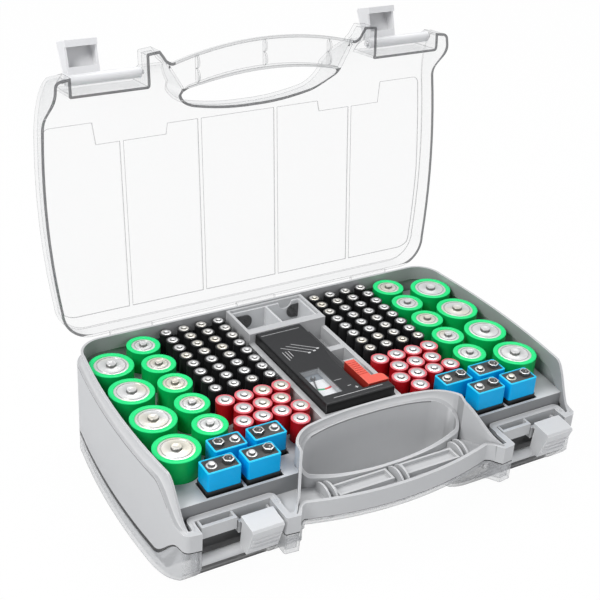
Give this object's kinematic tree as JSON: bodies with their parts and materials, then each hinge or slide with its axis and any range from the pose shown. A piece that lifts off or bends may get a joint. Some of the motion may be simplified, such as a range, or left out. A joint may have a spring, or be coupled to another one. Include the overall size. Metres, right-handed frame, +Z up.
{
  "type": "two-sided cell storage case",
  "caption": "Hinged two-sided carrying case for round and square cells, with clear lids, hooked latches, hand opening, button-cell tray and a lift-out cell tester.",
  "frame": {"origin": "middle of the underside of the lower lid", "axes": "+X along the front to the right, +Y to the hinges at the back, +Z up"},
  "size_m": [0.346, 0.2651, 0.3127],
  "materials": {
    "case_plastic": "light grey moulded plastic, fine satin",
    "clear_plastic": "clear styrene lid",
    "latch_plastic": "light grey moulded plastic",
    "pin_steel": "drawn steel",
    "tester_plastic": "black moulded plastic",
    "slider_plastic": "red-orange moulded plastic",
    "dial_card": "printed dial",
    "window_plastic": "clear meter window",
    "needle_metal": "black painted",
    "green_jacket": "green printed sleeve",
    "cell_steel": "nickel-plated steel",
    "red_jacket": "red printed sleeve",
    "black_jacket": "black printed sleeve",
    "blue_jacket": "blue printed sleeve"
  },
  "bodies": {
    "case": {"case_shell": "case_plastic", "deck_left": "case_plastic", "deck_right": "case_plastic", "case_floor": "case_plastic", "cell_rests": "case_plastic", "handle_core": "case_plastic", "latch_catches": "case_plastic", "hinge_lugs": "case_plastic", "hinge_pins": "pin_steel", "tester_frame": "case_plastic", "tray_frame": "case_plastic", "d_cells": "green_jacket", "d_caps": "cell_steel", "c_cells": "green_jacket", "c_caps": "cell_steel", "aa_cells": "red_jacket", "aaa_cells": "black_jacket", "nine_volt_cells": "blue_jacket", "nine_volt_bands": "black_jacket", "nine_volt_studs": "cell_steel"},
    "upper_lid": {"upper_lid": "clear_plastic"},
    "lower_lid": {"lower_lid": "clear_plastic"},
    "upper_latch_left": {"upper_latch_left": "latch_plastic"},
    "upper_latch_right": {"upper_latch_right": "latch_plastic"},
    "lower_latch_left": {"lower_latch_left": "latch_plastic"},
    "lower_latch_right": {"lower_latch_right": "latch_plastic"},
    "tester": {"tester_case": "tester_plastic", "tester_dial": "dial_card", "tester_window": "window_plastic", "tester_rail": "tester_plastic"},
    "slider": {"tester_slider": "slider_plastic"},
    "needle": {"tester_needle": "needle_metal"},
    "tray": {"cell_tray": "window_plastic"}
  },
  "joints": [
    {"name": "upper_lid_hinge", "type": "hinge", "parent": "case", "child": "upper_lid", "pos_m": [0, 0.09875, 0.077], "axis": [-1, 0, 0], "range_deg": [-96.5, 0]},
    {"name": "lower_lid_hinge", "type": "hinge", "parent": "case", "child": "lower_lid", "pos_m": [0, 0.09875, 0.018], "axis": [1, 0, 0], "range_deg": [0, 97]},
    {"name": "upper_latch_left_pivot", "type": "hinge", "parent": "upper_lid", "child": "upper_latch_left", "pos_m": [-0.1255, 0.113, 0.28598], "axis": [-1, 0, 0], "range_deg": [-102, 0]},
    {"name": "upper_latch_right_pivot", "type": "hinge", "parent": "upper_lid", "child": "upper_latch_right", "pos_m": [0.1255, 0.113, 0.28598], "axis": [-1, 0, 0], "range_deg": [-102, 0]},
    {"name": "lower_latch_left_pivot", "type": "hinge", "parent": "lower_lid", "child": "lower_latch_left", "pos_m": [-0.1255, -0.1105, 0.0275], "axis": [1, 0, 0], "range_deg": [-5, 97]},
    {"name": "lower_latch_right_pivot", "type": "hinge", "parent": "lower_lid", "child": "lower_latch_right", "pos_m": [0.1255, -0.1105, 0.0275], "axis": [1, 0, 0], "range_deg": [-5, 97]},
    {"name": "tester_lift", "type": "slide", "parent": "case", "child": "tester", "axis": [0, 0, 1], "range_m": [0, 0.04]},
    {"name": "slider_travel", "type": "slide", "parent": "tester", "child": "slider", "axis": [0, 1, 0], "range_m": [0, 0.06]},
    {"name": "needle_swing", "type": "hinge", "parent": "tester", "child": "needle", "pos_m": [-0.0178, -0.022, 0.0825], "axis": [0, 0, 1], "range_deg": [0, 38]},
    {"name": "tray_lift", "type": "slide", "parent": "case", "child": "tray", "axis": [0, 0, 1], "range_m": [0, 0.03]}
  ]
}
